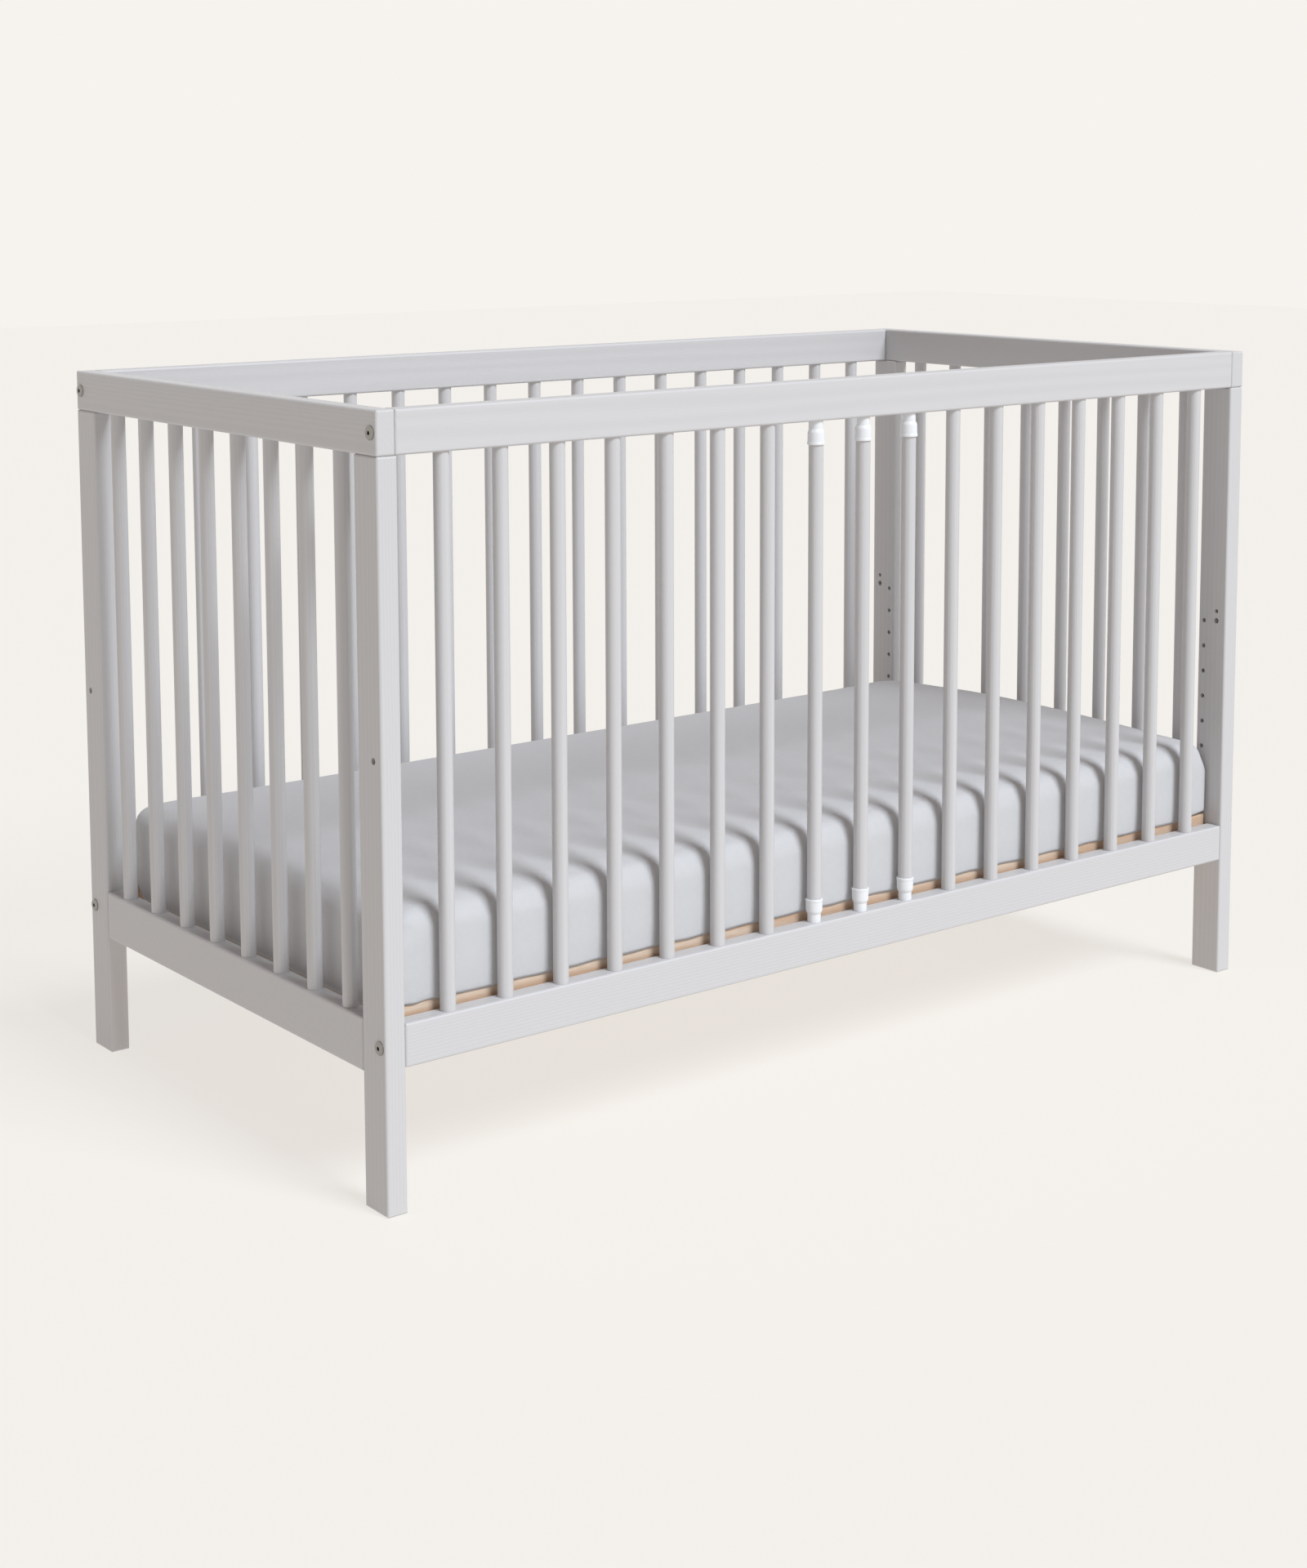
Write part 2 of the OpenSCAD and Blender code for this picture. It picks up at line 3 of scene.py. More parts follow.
import bpy
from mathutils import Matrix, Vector


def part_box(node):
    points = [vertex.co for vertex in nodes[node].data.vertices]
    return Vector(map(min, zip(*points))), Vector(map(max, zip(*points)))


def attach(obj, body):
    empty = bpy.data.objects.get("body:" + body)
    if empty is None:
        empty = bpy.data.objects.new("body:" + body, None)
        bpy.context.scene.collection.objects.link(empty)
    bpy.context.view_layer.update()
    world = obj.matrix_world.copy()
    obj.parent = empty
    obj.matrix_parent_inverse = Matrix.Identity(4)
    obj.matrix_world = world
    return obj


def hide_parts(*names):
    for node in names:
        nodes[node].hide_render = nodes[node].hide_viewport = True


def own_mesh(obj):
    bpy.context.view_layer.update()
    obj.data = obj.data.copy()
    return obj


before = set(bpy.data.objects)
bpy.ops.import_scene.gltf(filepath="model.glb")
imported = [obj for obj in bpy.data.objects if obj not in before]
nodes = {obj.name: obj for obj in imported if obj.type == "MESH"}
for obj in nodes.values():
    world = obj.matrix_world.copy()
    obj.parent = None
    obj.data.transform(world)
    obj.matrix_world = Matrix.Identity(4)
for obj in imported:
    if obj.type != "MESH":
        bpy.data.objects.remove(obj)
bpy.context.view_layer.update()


# ---------------------------------------------------------------- studio
# A pale seamless studio: one broad key light from the front right, even fill from all round,
# and a floor of the same tone as the air behind, so that only a soft shadow shows.
def srgb(code):
    """A hex colour as linear red, green, blue and alpha."""
    parts = [int(code[i:i + 2], 16) / 255 for i in (1, 3, 5)]
    return [c / 12.92 if c <= 0.04045 else ((c + 0.055) / 1.055) ** 2.4 for c in parts] + [1.0]


def add_node(tree, kind, settings=None, links=None):
    """One node, its sockets and properties set, and its inputs linked from other nodes' outputs."""
    made = tree.nodes.new(kind)
    for name, value in (settings or {}).items():
        if isinstance(name, int) or name in made.inputs:
            made.inputs[name].default_value = value
        else:
            setattr(made, name, value)
    for name, source in (links or {}).items():
        tree.links.new(source, made.inputs[name])
    return made


def new_material(name):
    """An empty node material and its output node."""
    material = bpy.data.materials.new(name)
    material.use_nodes = True
    material.node_tree.nodes.clear()
    return material, add_node(material.node_tree, "ShaderNodeOutputMaterial")


camera = bpy.data.objects.new("camera", bpy.data.cameras.new("camera"))
bpy.context.scene.collection.objects.link(camera)
camera.location = (-1.8602, -2.3268, 0.9980)
camera.rotation_euler = (1.456, 0.003, -0.662)
camera.data.lens = 58.0
camera.data.sensor_width = 36.0
camera.data.shift_y = -0.2
bpy.context.scene.camera = camera

key = bpy.data.objects.new("key_light", bpy.data.lights.new("key_light", "SUN"))
bpy.context.scene.collection.objects.link(key)
KEY_FROM = Vector((0.12, -0.68, 0.70))
key.rotation_euler = KEY_FROM.to_track_quat("Z", "Y").to_euler()
key.data.energy = 2.75
key.data.angle = math.radians(24)
key.data.color = (0.93, 1.0, 1.07)

AIR = srgb("#F6F3EE")
FILL = (0.37, 0.33, 0.315, 1.0)
world = bpy.data.worlds.new("studio_air")
bpy.context.scene.world = world
world.use_nodes = True
world.node_tree.nodes.clear()
ray = add_node(world.node_tree, "ShaderNodeLightPath")
seen = add_node(world.node_tree, "ShaderNodeBackground", {"Color": AIR})
fill = add_node(world.node_tree, "ShaderNodeBackground", {"Color": FILL})
air = add_node(world.node_tree, "ShaderNodeMixShader", links={
    0: ray.outputs["Is Diffuse Ray"], 1: seen.outputs[0], 2: fill.outputs[0]})
add_node(world.node_tree, "ShaderNodeOutputWorld", links={"Surface": air.outputs[0]})
bpy.context.scene.view_settings.view_transform = "Standard"

FLOOR_HALF = 14.0
FLOOR_COLOUR = srgb("#F1EDE8")
FLOOR_SHADED_SHARE = 0.25
bpy.ops.mesh.primitive_plane_add(size=2 * FLOOR_HALF, location=(0, 0, 0))
floor = bpy.context.object
floor.name = "floor"
paper, paper_out = new_material("matt_paper_floor")
lit = add_node(paper.node_tree, "ShaderNodeBsdfDiffuse", {"Color": FLOOR_COLOUR})
glow = add_node(paper.node_tree, "ShaderNodeEmission", {"Color": AIR, "Strength": 1.0})
mixed = add_node(paper.node_tree, "ShaderNodeMixShader", {0: FLOOR_SHADED_SHARE},
                 {1: glow.outputs[0], 2: lit.outputs[0]})
paper.node_tree.links.new(mixed.outputs[0], paper_out.inputs["Surface"])
floor.data.materials.append(paper)


# ---------------------------------------------------------------- end frames and long sides
# Sanded hardwood, sprayed with a pale grey satin paint. The rails lie along the crib or across it,
# the legs and bars stand, and the paint lets the growth rings show faintly.
PAINT_COLOUR = "#C9C8C9"
PAINT_IOR = 1.5
PAINT_SMOOTHEST, PAINT_ROUGHEST = 0.38, 0.5
PAINTED_RING_TONE = 0.965
PAINTED_RING_SPACING = 0.0032
PAINTED_RING_WANDER = 0.012
PAINTED_WANDER_SCALE = 14.0  # a ring strays over about 70 mm
PAINTED_PORE_SCALE = 900.0  # pores 1.1 mm wide, coarser than the real ones, so that they show
PAINTED_GRAIN_STRETCH = 0.05
RING_RELIEF = 0.25
PAINTED_RELIEF = {"Strength": 0.4, "Distance": 0.0003}


def growth_rings(tree, along, pith, spacing, wander, wander_scale, stretch):
    """Waves round a pith line that runs along one axis, and places drawn out along that grain."""
    place = add_node(tree, "ShaderNodeTexCoord").outputs["Object"]
    flat = [0.0 if axis == along else 1.0 for axis in "XYZ"]
    long = [stretch if axis == along else 1.0 for axis in "XYZ"]
    grain = add_node(tree, "ShaderNodeVectorMath", {"operation": "MULTIPLY", 1: long}, {0: place})
    centred = add_node(tree, "ShaderNodeVectorMath", {"operation": "SUBTRACT", 1: pith}, {0: place})
    across = add_node(tree, "ShaderNodeVectorMath", {"operation": "MULTIPLY", 1: flat},
                      {0: centred.outputs[0]})
    radius = add_node(tree, "ShaderNodeVectorMath", {"operation": "LENGTH"},
                      {0: across.outputs[0]})
    straying = add_node(tree, "ShaderNodeTexNoise", {"Scale": wander_scale, "Detail": 2.0},
                        {"Vector": grain.outputs[0]})
    bent = add_node(tree, "ShaderNodeMath", {"operation": "MULTIPLY_ADD", 1: wander},
                    {0: straying.outputs[0], 2: radius.outputs["Value"]})
    turns = add_node(tree, "ShaderNodeMath", {"operation": "MULTIPLY", 1: 2 * math.pi / spacing},
                     {0: bent.outputs[0]})
    rings = add_node(tree, "ShaderNodeMath", {"operation": "SINE"}, {0: turns.outputs[0]})
    return rings.outputs[0], grain.outputs[0]


def painted_timber(name, along, pith):
    """Satin paint, thin enough to show the timber's rings and pores as a faint relief and tone."""
    material, out = new_material(name)
    tree = material.node_tree
    rings, grain = growth_rings(tree, along, pith, PAINTED_RING_SPACING, PAINTED_RING_WANDER,
                                PAINTED_WANDER_SCALE, PAINTED_GRAIN_STRETCH)
    pores = add_node(tree, "ShaderNodeTexNoise", {"Scale": PAINTED_PORE_SCALE, "Detail": 3.0},
                     {"Vector": grain})
    relief = add_node(tree, "ShaderNodeMath", {"operation": "MULTIPLY_ADD", 1: RING_RELIEF},
                      {0: rings, 2: pores.outputs[0]})
    bump = add_node(tree, "ShaderNodeBump", PAINTED_RELIEF, {"Height": relief.outputs[0]})
    tone = add_node(tree, "ShaderNodeMapRange", {
        "From Min": -1.0, "From Max": 1.0, "To Min": PAINTED_RING_TONE, "To Max": 1.0},
        {"Value": rings})
    colour = add_node(tree, "ShaderNodeMix", {
        "data_type": "RGBA", "blend_type": "MULTIPLY", 0: 1.0, 6: srgb(PAINT_COLOUR)},
        {7: tone.outputs[0]})
    sheen = add_node(tree, "ShaderNodeMapRange", {
        "To Min": PAINT_SMOOTHEST, "To Max": PAINT_ROUGHEST}, {"Value": pores.outputs[0]})
    paint = add_node(tree, "ShaderNodeBsdfPrincipled", {"IOR": PAINT_IOR}, {
        "Base Color": colour.outputs[2], "Roughness": sheen.outputs[0],
        "Normal": bump.outputs[0]})
    tree.links.new(paint.outputs[0], out.inputs["Surface"])
    return material


def wear(material, *names):
    """Gives the material to every slot of these CAD nodes."""
    for name in names:
        for place in nodes[name].material_slots:
            place.material = material


# Each timber is named with its grain's axis and a point on its pith line.
upright = painted_timber("satin_painted_upright_timber", "Z", (0.03, 0.02, 0.0))
lengthwise = painted_timber("satin_painted_lengthwise_timber", "X", (0.0, 0.02, 0.72))
crosswise = painted_timber("satin_painted_crosswise_timber", "Y", (-0.66, 0.0, 0.74))
wear(upright, "leg_front_left", "leg_front_right", "leg_rear_left", "leg_rear_right")
wear(upright, "end_bars_left", "end_bars_right", "front_fixed_bars", "rear_bars")
wear(upright, "removable_bar_1", "removable_bar_2", "removable_bar_3")
wear(crosswise, "end_top_rail_left", "end_top_rail_right")
wear(crosswise, "end_lower_rail_left", "end_lower_rail_right")
wear(lengthwise, "front_top_rail", "rear_top_rail", "front_lower_rail", "rear_lower_rail")


# ---------------------------------------------------------------- caps
# Injection-moulded white polypropylene, pushed and glued on the removable bars' ends. It is
# glossy, with a very slight orange peel, and looks a little whiter and bluer than the paint.
CAP_COLOUR = "#E6E8EB"
CAP_ROUGHNESS = 0.28
CAP_IOR = 1.49
PEEL_SCALE = 420.0  # dimples 2.4 mm across
PEEL_RELIEF = {"Strength": 0.08, "Distance": 0.0002}


def moulded_plastic(name):
    """Glossy moulded plastic with an orange peel."""
    material, out = new_material(name)
    tree = material.node_tree
    place = add_node(tree, "ShaderNodeTexCoord").outputs["Object"]
    peel = add_node(tree, "ShaderNodeTexNoise", {"Scale": PEEL_SCALE, "Detail": 1.0},
                    {"Vector": place})
    bump = add_node(tree, "ShaderNodeBump", PEEL_RELIEF, {"Height": peel.outputs[0]})
    plastic = add_node(tree, "ShaderNodeBsdfPrincipled", {
        "Base Color": srgb(CAP_COLOUR), "IOR": CAP_IOR, "Roughness": CAP_ROUGHNESS},
        {"Normal": bump.outputs[0]})
    tree.links.new(plastic.outputs[0], out.inputs["Surface"])
    return material


white_plastic = moulded_plastic("moulded_white_polypropylene")
for number in (1, 2, 3):
    wear(white_plastic, f"top_cap_{number}", f"bottom_cap_{number}")


# ---------------------------------------------------------------- fasteners
# Nickel-plated furniture bolts with low round heads, zinc-plated nuts, screws and pins. The
# nickel is the warmer and darker of the two, the zinc the bluer and duller.
NICKEL, NICKEL_ROUGHNESS = "#96938E", 0.3
ZINC, ZINC_ROUGHNESS = "#C2C6CB", 0.36
TURNING_SCALE = 1500.0  # turning marks 0.7 mm apart
SMOOTHER_BY, ROUGHER_BY = 0.06, 0.1


def plated_steel(name, code, roughness):
    """Bright plating over turned steel, with faint turning marks."""
    material, out = new_material(name)
    tree = material.node_tree
    place = add_node(tree, "ShaderNodeTexCoord").outputs["Object"]
    marks = add_node(tree, "ShaderNodeTexNoise", {"Scale": TURNING_SCALE, "Detail": 2.0},
                     {"Vector": place})
    shine = add_node(tree, "ShaderNodeMapRange", {
        "To Min": roughness - SMOOTHER_BY, "To Max": roughness + ROUGHER_BY},
        {"Value": marks.outputs[0]})
    metal = add_node(tree, "ShaderNodeBsdfPrincipled", {
        "Base Color": srgb(code), "Metallic": 1.0}, {"Roughness": shine.outputs[0]})
    tree.links.new(metal.outputs[0], out.inputs["Surface"])
    return material


wear(plated_steel("nickel_plated_steel", NICKEL, NICKEL_ROUGHNESS),
     "upper_joint_bolts", "lower_joint_bolts")
wear(plated_steel("zinc_plated_steel", ZINC, ZINC_ROUGHNESS),
     "barrel_nuts", "slat_screws", "base_corner_screws", "base_pins")


# ---------------------------------------------------------------- springs
# Wound spring steel wire, one in the neck of each upper cap. It presses the bar down, and is
# squeezed towards the bar as the bar is pushed up.
SPRING_STEEL, SPRING_ROUGHNESS = "#9C9C9A", 0.3
SPRING_WIRE = 0.0012
SPRING_TURNS = 7
WIRE_FACES = 8
FACES_A_TURN = 20
SMOOTH_UNDER = math.radians(50)
spring_steel = plated_steel("spring_steel_wire", SPRING_STEEL, SPRING_ROUGHNESS)
for number in (1, 2, 3):
    coil_low, coil_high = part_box(f"cap_spring_{number}")
    coil_middle = (coil_low + coil_high) / 2
    coil_radius = (coil_high.x - coil_low.x - SPRING_WIRE) / 2
    coil_long = coil_high.z - coil_low.z
    bpy.ops.object.select_all(action="DESELECT")
    bpy.ops.mesh.primitive_circle_add(vertices=WIRE_FACES, radius=SPRING_WIRE / 2,
                                      location=(coil_radius, 0, 0), rotation=(math.pi / 2, 0, 0))
    coil = bpy.context.object
    coil.name = coil.data.name = f"wound_spring_{number}"
    bpy.ops.object.transform_apply(location=True, rotation=True, scale=True)
    winding = coil.modifiers.new("winding", "SCREW")
    winding.iterations = SPRING_TURNS
    winding.screw_offset = (coil_long - SPRING_WIRE) / SPRING_TURNS
    winding.steps = winding.render_steps = FACES_A_TURN
    bpy.ops.object.modifier_apply(modifier="winding")
    bpy.ops.object.mode_set(mode="EDIT")
    bpy.ops.mesh.select_all(action="SELECT")
    bpy.ops.mesh.fill_holes(sides=0)
    bpy.ops.mesh.select_all(action="SELECT")
    bpy.ops.mesh.normals_make_consistent(inside=False)
    bpy.ops.object.mode_set(mode="OBJECT")
    bpy.ops.object.shade_smooth_by_angle(angle=SMOOTH_UNDER)
    bpy.ops.transform.translate(
        value=(coil_middle.x, coil_middle.y, coil_low.z + SPRING_WIRE / 2))
    bpy.ops.object.transform_apply(location=True, rotation=True, scale=True)
    coil.data.materials.append(spring_steel)
    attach(coil, f"bar_{number}")
    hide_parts(f"cap_spring_{number}")
    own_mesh(coil)


# ---------------------------------------------------------------- slatted base
# Planed pine left bare, screwed together: straight yellow-brown grain with darker late-wood lines.
# The dowels of the whole crib are turned beech, redder and with finer rings.
PINE_LIGHT, PINE_DARK = "#DCC9B6", "#C4A285"
PINE_RING_SPACING = 0.004
BEECH_LIGHT, BEECH_DARK = "#DDB98F", "#C99B6C"
BEECH_RING_SPACING = 0.002
BARE_RING_WANDER = 0.02
BARE_WANDER_SCALE = 18.0  # a ring strays over about 55 mm
BARE_FIBRE_SCALE = 1100.0  # fibres 0.9 mm wide, coarser than the real ones, so that they show
BARE_GRAIN_STRETCH = 0.06
BARE_RING_SHARE = 0.3
PLANED_RELIEF = {"Strength": 0.3, "Distance": 0.0003}
BARE_IOR = 1.45
BARE_ROUGHNESS = 0.62


def bare_timber(name, along, pith, light, dark, spacing):
    """Planed, unfinished timber: matt, with the rings and fibres in its colour and relief."""
    material, out = new_material(name)
    tree = material.node_tree
    rings, grain = growth_rings(tree, along, pith, spacing, BARE_RING_WANDER,
                                BARE_WANDER_SCALE, BARE_GRAIN_STRETCH)
    fibres = add_node(tree, "ShaderNodeTexNoise", {"Scale": BARE_FIBRE_SCALE, "Detail": 3.0},
                      {"Vector": grain})
    blend = add_node(tree, "ShaderNodeMath", {"operation": "MULTIPLY_ADD", 1: BARE_RING_SHARE},
                     {0: rings, 2: fibres.outputs[0]})
    ramp = add_node(tree, "ShaderNodeMix", {"data_type": "RGBA", 6: srgb(light), 7: srgb(dark)},
                    {0: blend.outputs[0]})
    bump = add_node(tree, "ShaderNodeBump", PLANED_RELIEF, {"Height": blend.outputs[0]})
    wood = add_node(tree, "ShaderNodeBsdfPrincipled", {
        "IOR": BARE_IOR, "Roughness": BARE_ROUGHNESS},
        {"Base Color": ramp.outputs[2], "Normal": bump.outputs[0]})
    tree.links.new(wood.outputs[0], out.inputs["Surface"])
    return material


pine_across = bare_timber("planed_pine_across", "Y", (0.02, 0.0, 0.15),
                          PINE_LIGHT, PINE_DARK, PINE_RING_SPACING)
pine_along = bare_timber("planed_pine_along", "X", (0.0, 0.05, 0.12),
                         PINE_LIGHT, PINE_DARK, PINE_RING_SPACING)
wear(pine_across, "base_end_rail_left", "base_end_rail_right")
wear(pine_across, *[name for name in nodes
                    if name.startswith("slat_") and name != "slat_screws"])
wear(pine_along, "base_side_rail_front", "base_side_rail_rear")
wear(bare_timber("turned_beech", "X", (0.0, 0.3, 0.7),
                 BEECH_LIGHT, BEECH_DARK, BEECH_RING_SPACING),
     "locating_dowels", "frame_dowels")


# ---------------------------------------------------------------- mattress
# A block of foam in a smooth, zipped cotton cover, lying loose on the slats close to the rails. The
# sheet pulls its upper edges down, so the top is higher in the middle than at the edges.
FOAM_SWELL = 0.002
FOAM_FRONT_CORNER, FRONT_CORNER_FACES = 0.012, 3
FOAM_REAR_CORNER, REAR_CORNER_FACES = 0.025, 5
FOAM_TOP_EDGE, TOP_EDGE_FACES = 0.013, 5
UPRIGHT = 0.05  # an edge is upright where its ends are this far apart in height
REAR_PART = 0.2
AT_THE_TOP = 0.001  # an edge is at the top where both its ends are this near to it
FOAM_VOXEL = 0.0086
FOAM_FRAMES = 20
FOAM_PRESSURE = 0.6
FOAM_REACH_LEFT = 0.5940
FOAM_REACH_REAR = 0.2860
UNDER_SHEET = 0.0015  # the room for the sheet between the foam and the slats
# How far the top drops at the front, rear and left edges, at the left only near the end.
CROWN_FRONT = 0.010
CROWN_REAR = 0.019
CROWN_LEFT = 0.004
CROWN_LEFT_LONG = 0.08
# The sides are pushed out flat between two heights, where they were pulled in by less than this.
PULLED_IN, PULLED_IN_FADE = 0.014, 0.008
STRAIGHTENED = 0.9
STRAIGHT_FROM, STRAIGHT_FROM_FADE = 0.003, 0.002
STRAIGHT_TO, STRAIGHT_TO_FADE = 0.092, 0.032


def lone_cube(name, low, high):
    """A box between two corners, alone selected and active, with its place in its mesh."""
    bpy.ops.object.select_all(action="DESELECT")
    bpy.ops.mesh.primitive_cube_add(size=1, location=(low + high) / 2, scale=high - low)
    made = bpy.context.object
    made.name = made.data.name = name
    bpy.ops.object.transform_apply(location=True, rotation=True, scale=True)
    return made


def swell(piece, frames, most, pressure):
    """Swells a closed mesh as cloth under air pressure, by no more than a limit at each point."""
    before = [vertex.co.copy() for vertex in piece.data.vertices]
    cloth = piece.modifiers.new("swelling", "CLOTH")
    cloth.settings.quality = 6
    cloth.settings.use_pressure = True
    cloth.settings.uniform_pressure_force = pressure
    cloth.settings.effector_weights.gravity = 0.0
    cloth.point_cache.frame_start = 1
    cloth.point_cache.frame_end = frames
    for number in range(1, frames + 1):
        bpy.context.scene.frame_set(number)
    bpy.ops.object.select_all(action="DESELECT")
    bpy.context.view_layer.objects.active = piece
    piece.select_set(True)
    bpy.ops.object.modifier_apply(modifier=cloth.name)
    bpy.context.scene.frame_set(1)
    for vertex, was in zip(piece.data.vertices, before):
        moved = vertex.co - was
        if moved.length > most:
            vertex.co = was + moved * (most / moved.length)


def round_edges(piece, wanted, radius, segments):
    """Bevels the edges whose two ends pass the test, in that many faces."""
    points = piece.data.vertices
    bpy.context.tool_settings.mesh_select_mode = (False, True, False)
    bpy.ops.object.mode_set(mode="EDIT")
    bpy.ops.mesh.select_all(action="DESELECT")
    bpy.ops.object.mode_set(mode="OBJECT")
    for edge in piece.data.edges:
        edge.select = wanted(points[edge.vertices[0]].co, points[edge.vertices[1]].co)
    bpy.ops.object.mode_set(mode="EDIT")
    bpy.ops.mesh.bevel(offset=radius, segments=segments, affect="EDGES")
    bpy.ops.object.mode_set(mode="OBJECT")


def ease(value):
    """A smooth step from 0 to 1."""
    value = min(max(value, 0.0), 1.0)
    return value * value * (3 - 2 * value)


foam_low, foam_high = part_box("mattress")
foam_inset = Vector((FOAM_SWELL, FOAM_SWELL, FOAM_SWELL))
foam = lone_cube("mattress_foam", foam_low + foam_inset, foam_high - foam_inset)
foam_deep = foam_high.z - foam_low.z
top_z = foam_high.z - FOAM_SWELL
round_edges(foam, lambda a, b: abs(a.z - b.z) > UPRIGHT and a.y < 0,
            FOAM_FRONT_CORNER, FRONT_CORNER_FACES)
round_edges(foam, lambda a, b: abs(a.z - b.z) > UPRIGHT and a.y > REAR_PART,
            FOAM_REAR_CORNER, REAR_CORNER_FACES)
round_edges(foam, lambda a, b: min(a.z, b.z) > top_z - AT_THE_TOP,
            FOAM_TOP_EDGE, TOP_EDGE_FACES)
foam.data.remesh_voxel_size = FOAM_VOXEL
bpy.ops.object.voxel_remesh()
swell(foam, FOAM_FRAMES, FOAM_SWELL, FOAM_PRESSURE)
foam.modifiers.new("smooth", "SUBSURF").levels = 1
foam.modifiers["smooth"].render_levels = 1
bpy.ops.object.modifier_apply(modifier="smooth")
bpy.ops.object.shade_smooth()
foam_points = [vertex.co for vertex in foam.data.vertices]
right = foam_high.x / max(point.x for point in foam_points)
left = FOAM_REACH_LEFT / -min(point.x for point in foam_points)
front = foam_high.y / -min(point.y for point in foam_points)
rear = FOAM_REACH_REAR / max(point.y for point in foam_points)


def straighten(place, reach, share):
    """Moves a point on a side that was pulled in back out towards the side's full reach."""
    short = max(0.0, reach - abs(place))
    return place + math.copysign(
        share * short * ease((PULLED_IN - short) / PULLED_IN_FADE), place)


for vertex in foam.data.vertices:
    point = vertex.co
    point.x *= right if point.x > 0 else left
    point.y *= rear if point.y > 0 else front
    height = point.z - foam_low.z
    share = (STRAIGHTENED * ease((height - STRAIGHT_FROM) / STRAIGHT_FROM_FADE)
             * ease((STRAIGHT_TO - height) / STRAIGHT_TO_FADE))
    point.x = straighten(point.x, foam_high.x if point.x > 0 else FOAM_REACH_LEFT, share)
    point.y = straighten(point.y, FOAM_REACH_REAR if point.y > 0 else foam_high.y, share)
    raised = height / foam_deep
    across = point.y / foam_high.y
    drop = (CROWN_REAR if across > 0 else CROWN_FRONT) * across * across
    near_left = max(0.0, 1 - (foam_high.x + point.x) / CROWN_LEFT_LONG)
    point.z -= raised * (drop + CROWN_LEFT * near_left * near_left)
    point.z = max(point.z, foam_low.z + UNDER_SHEET)
sheet_source = foam.data.copy()


THREAD_PITCH = 0.0024  # the real one is 0.3 mm, too fine to show, so it is drawn this coarse
SLUB_SCALE = 160.0  # slubs 6 mm long
SLUB_DARKEST, SLUB_LIGHTEST = 0.955, 1.02
SLUB_RELIEF = 0.5
WEAVE_RELIEF = {"Strength": 0.2, "Distance": 0.0002}
COTTON_IOR = 1.47
COTTON_ROUGHNESS = 0.85
COTTON_FUZZ = 0.5
COVER_COLOUR = "#EDEBE7"
COVER_SHEEN = 0.1


def woven_cotton(name, code, shine):
    """Plain-woven cotton: a fine check of threads on every face, a soft sheen and faint slubs."""
    material, out = new_material(name)
    tree = material.node_tree
    place = add_node(tree, "ShaderNodeTexCoord").outputs["Object"]
    facing = add_node(tree, "ShaderNodeNewGeometry").outputs["Normal"]
    phase = add_node(tree, "ShaderNodeVectorMath", {
        "operation": "SCALE", "Scale": 2 * math.pi / THREAD_PITCH}, {0: place})
    wave = add_node(tree, "ShaderNodeVectorMath", {"operation": "SINE"}, {0: phase.outputs[0]})
    threads = add_node(tree, "ShaderNodeSeparateXYZ", links={0: wave.outputs[0]})
    sides = add_node(tree, "ShaderNodeSeparateXYZ", links={0: facing})
    weave = None
    for axis, warp, weft in (("X", "Y", "Z"), ("Y", "X", "Z"), ("Z", "X", "Y")):
        crossing = add_node(tree, "ShaderNodeMath", {"operation": "MULTIPLY"},
                            {0: threads.outputs[warp], 1: threads.outputs[weft]})
        share = add_node(tree, "ShaderNodeMath", {"operation": "MULTIPLY"},
                         {0: sides.outputs[axis], 1: sides.outputs[axis]})
        settings = {"operation": "MULTIPLY_ADD" if weave else "MULTIPLY"}
        links = {0: crossing.outputs[0], 1: share.outputs[0]}
        if weave:
            links[2] = weave.outputs[0]
        weave = add_node(tree, "ShaderNodeMath", settings, links)
    slubs = add_node(tree, "ShaderNodeTexNoise", {"Scale": SLUB_SCALE, "Detail": 4.0},
                     {"Vector": place})
    tone = add_node(tree, "ShaderNodeMapRange", {
        "To Min": SLUB_DARKEST, "To Max": SLUB_LIGHTEST}, {"Value": slubs.outputs[0]})
    colour = add_node(tree, "ShaderNodeMix", {
        "data_type": "RGBA", "blend_type": "MULTIPLY", 0: 1.0, 6: srgb(code)},
        {7: tone.outputs[0]})
    height = add_node(tree, "ShaderNodeMath", {"operation": "MULTIPLY_ADD", 1: SLUB_RELIEF},
                      {0: slubs.outputs[0], 2: weave.outputs[0]})
    bump = add_node(tree, "ShaderNodeBump", WEAVE_RELIEF, {"Height": height.outputs[0]})
    cotton = add_node(tree, "ShaderNodeBsdfPrincipled", {
        "IOR": COTTON_IOR, "Roughness": COTTON_ROUGHNESS,
        "Sheen Weight": shine, "Sheen Roughness": COTTON_FUZZ},
        {"Base Color": colour.outputs[2], "Normal": bump.outputs[0]})
    tree.links.new(cotton.outputs[0], out.inputs["Surface"])
    return material


foam.data.materials.clear()
foam.data.materials.append(
    woven_cotton("woven_cotton_mattress_cover", COVER_COLOUR, COVER_SHEEN))
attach(foam, "mattress")
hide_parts("mattress")


# ---------------------------------------------------------------- fitted sheet
# One piece of pale lilac-grey cotton, stretched over the mattress's top and sides and held under
# it by a gathered hem. Its lower edge sags past the base's rails, and in a loose fold at each end.
SHEET_COLOUR = "#C6C6C8"
SHEET_SHEEN = 0.15
SHEET_OFF = 0.0011
HEM_UNDER = 0.055
UNDERSIDE = 0.006
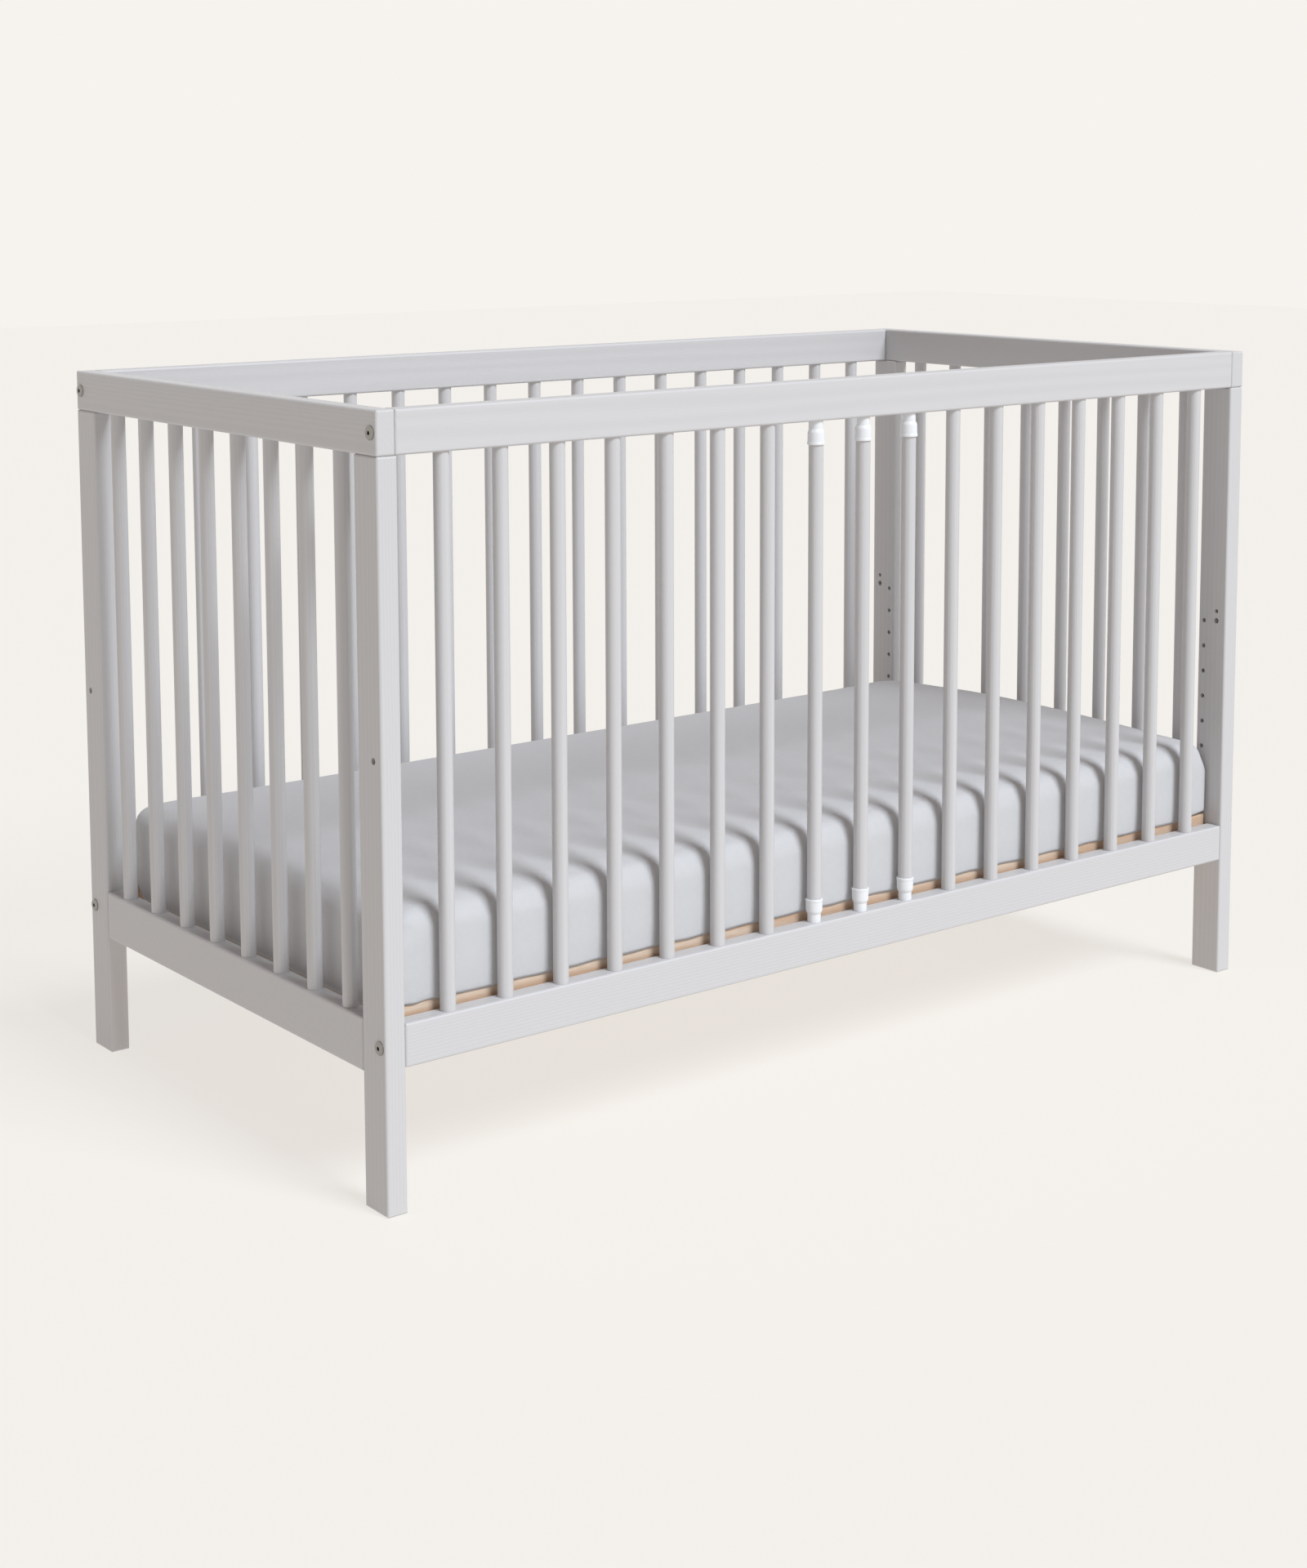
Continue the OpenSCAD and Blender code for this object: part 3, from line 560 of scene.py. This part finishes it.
# The long sides sag between the corners, unevenly where the hem gathers them.
SIDE_SAG = 0.0065
SIDE_FROM, SIDE_FADE = 0.0016, 0.0015
SIDE_LOW, SIDE_LOW_FADE = 0.026, 0.022
CORNER_STAYS, CORNER_FADE = 0.004, 0.05
GATHER_MEAN, GATHER_SWING = 0.93, 0.07
GATHER_WAVE, GATHER_STRAY, STRAY_WAVE = 97, 1.3, 31
RIPPLE, RIPPLE_WAVE = 0.0008, 83
# The fold at each end.
END_SAG = 0.022
END_FROM, END_FADE = 0.0090, 0.006
END_SAG_HALF, END_SAG_FADE = 0.274, 0.03
END_LOW, END_LOW_FADE = 0.030, 0.026

sheet = bpy.data.objects.new("fitted_cotton_sheet", sheet_source)
bpy.context.scene.collection.objects.link(sheet)
sheet.data.name = sheet.name
bpy.ops.object.select_all(action="DESELECT")
bpy.context.view_layer.objects.active = sheet
sheet.select_set(True)
hem_x = foam_high.x - HEM_UNDER
hem_y = foam_high.y - HEM_UNDER
bpy.context.tool_settings.mesh_select_mode = (False, False, True)
bpy.ops.object.mode_set(mode="EDIT")
bpy.ops.mesh.select_all(action="DESELECT")
bpy.ops.object.mode_set(mode="OBJECT")
for face in sheet.data.polygons:
    under = face.center.z < foam_low.z + UNDERSIDE
    face.select = under and abs(face.center.x) < hem_x and abs(face.center.y) < hem_y
bpy.ops.object.mode_set(mode="EDIT")
bpy.ops.mesh.delete(type="FACE")
bpy.ops.object.mode_set(mode="OBJECT")
sheet.data.update()
out_of_foam = [vertex.normal.copy() for vertex in sheet.data.vertices]
for vertex, way in zip(sheet.data.vertices, out_of_foam):
    vertex.co += way * SHEET_OFF
    point = vertex.co
    gather = GATHER_MEAN + GATHER_SWING * math.sin(
        GATHER_WAVE * point.x + GATHER_STRAY * math.sin(STRAY_WAVE * point.x))
    side_share = ease((abs(point.y) - foam_high.y + SIDE_FROM) / SIDE_FADE)
    corner_share = ease((foam_high.x - CORNER_STAYS - point.x) / CORNER_FADE)
    side_low = ease((foam_low.z + SIDE_LOW - point.z) / SIDE_LOW_FADE)
    end_share = ease((abs(point.x) - foam_high.x + END_FROM) / END_FADE)
    end_middle = ease((END_SAG_HALF - abs(point.y)) / END_SAG_FADE)
    end_low = ease((foam_low.z + END_LOW - point.z) / END_LOW_FADE)
    ripple = (1 + math.sin(RIPPLE_WAVE * point.x)) / 2
    point.y -= math.copysign(RIPPLE * ripple * side_low, point.y)
    point.z -= SIDE_SAG * gather * side_share * corner_share * side_low
    point.z -= END_SAG * end_share * end_middle * end_low
sheet.data.materials.clear()
sheet.data.materials.append(woven_cotton("woven_cotton_sheet", SHEET_COLOUR, SHEET_SHEEN))
bpy.ops.object.shade_smooth()
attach(sheet, "mattress")
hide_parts("fitted_sheet")
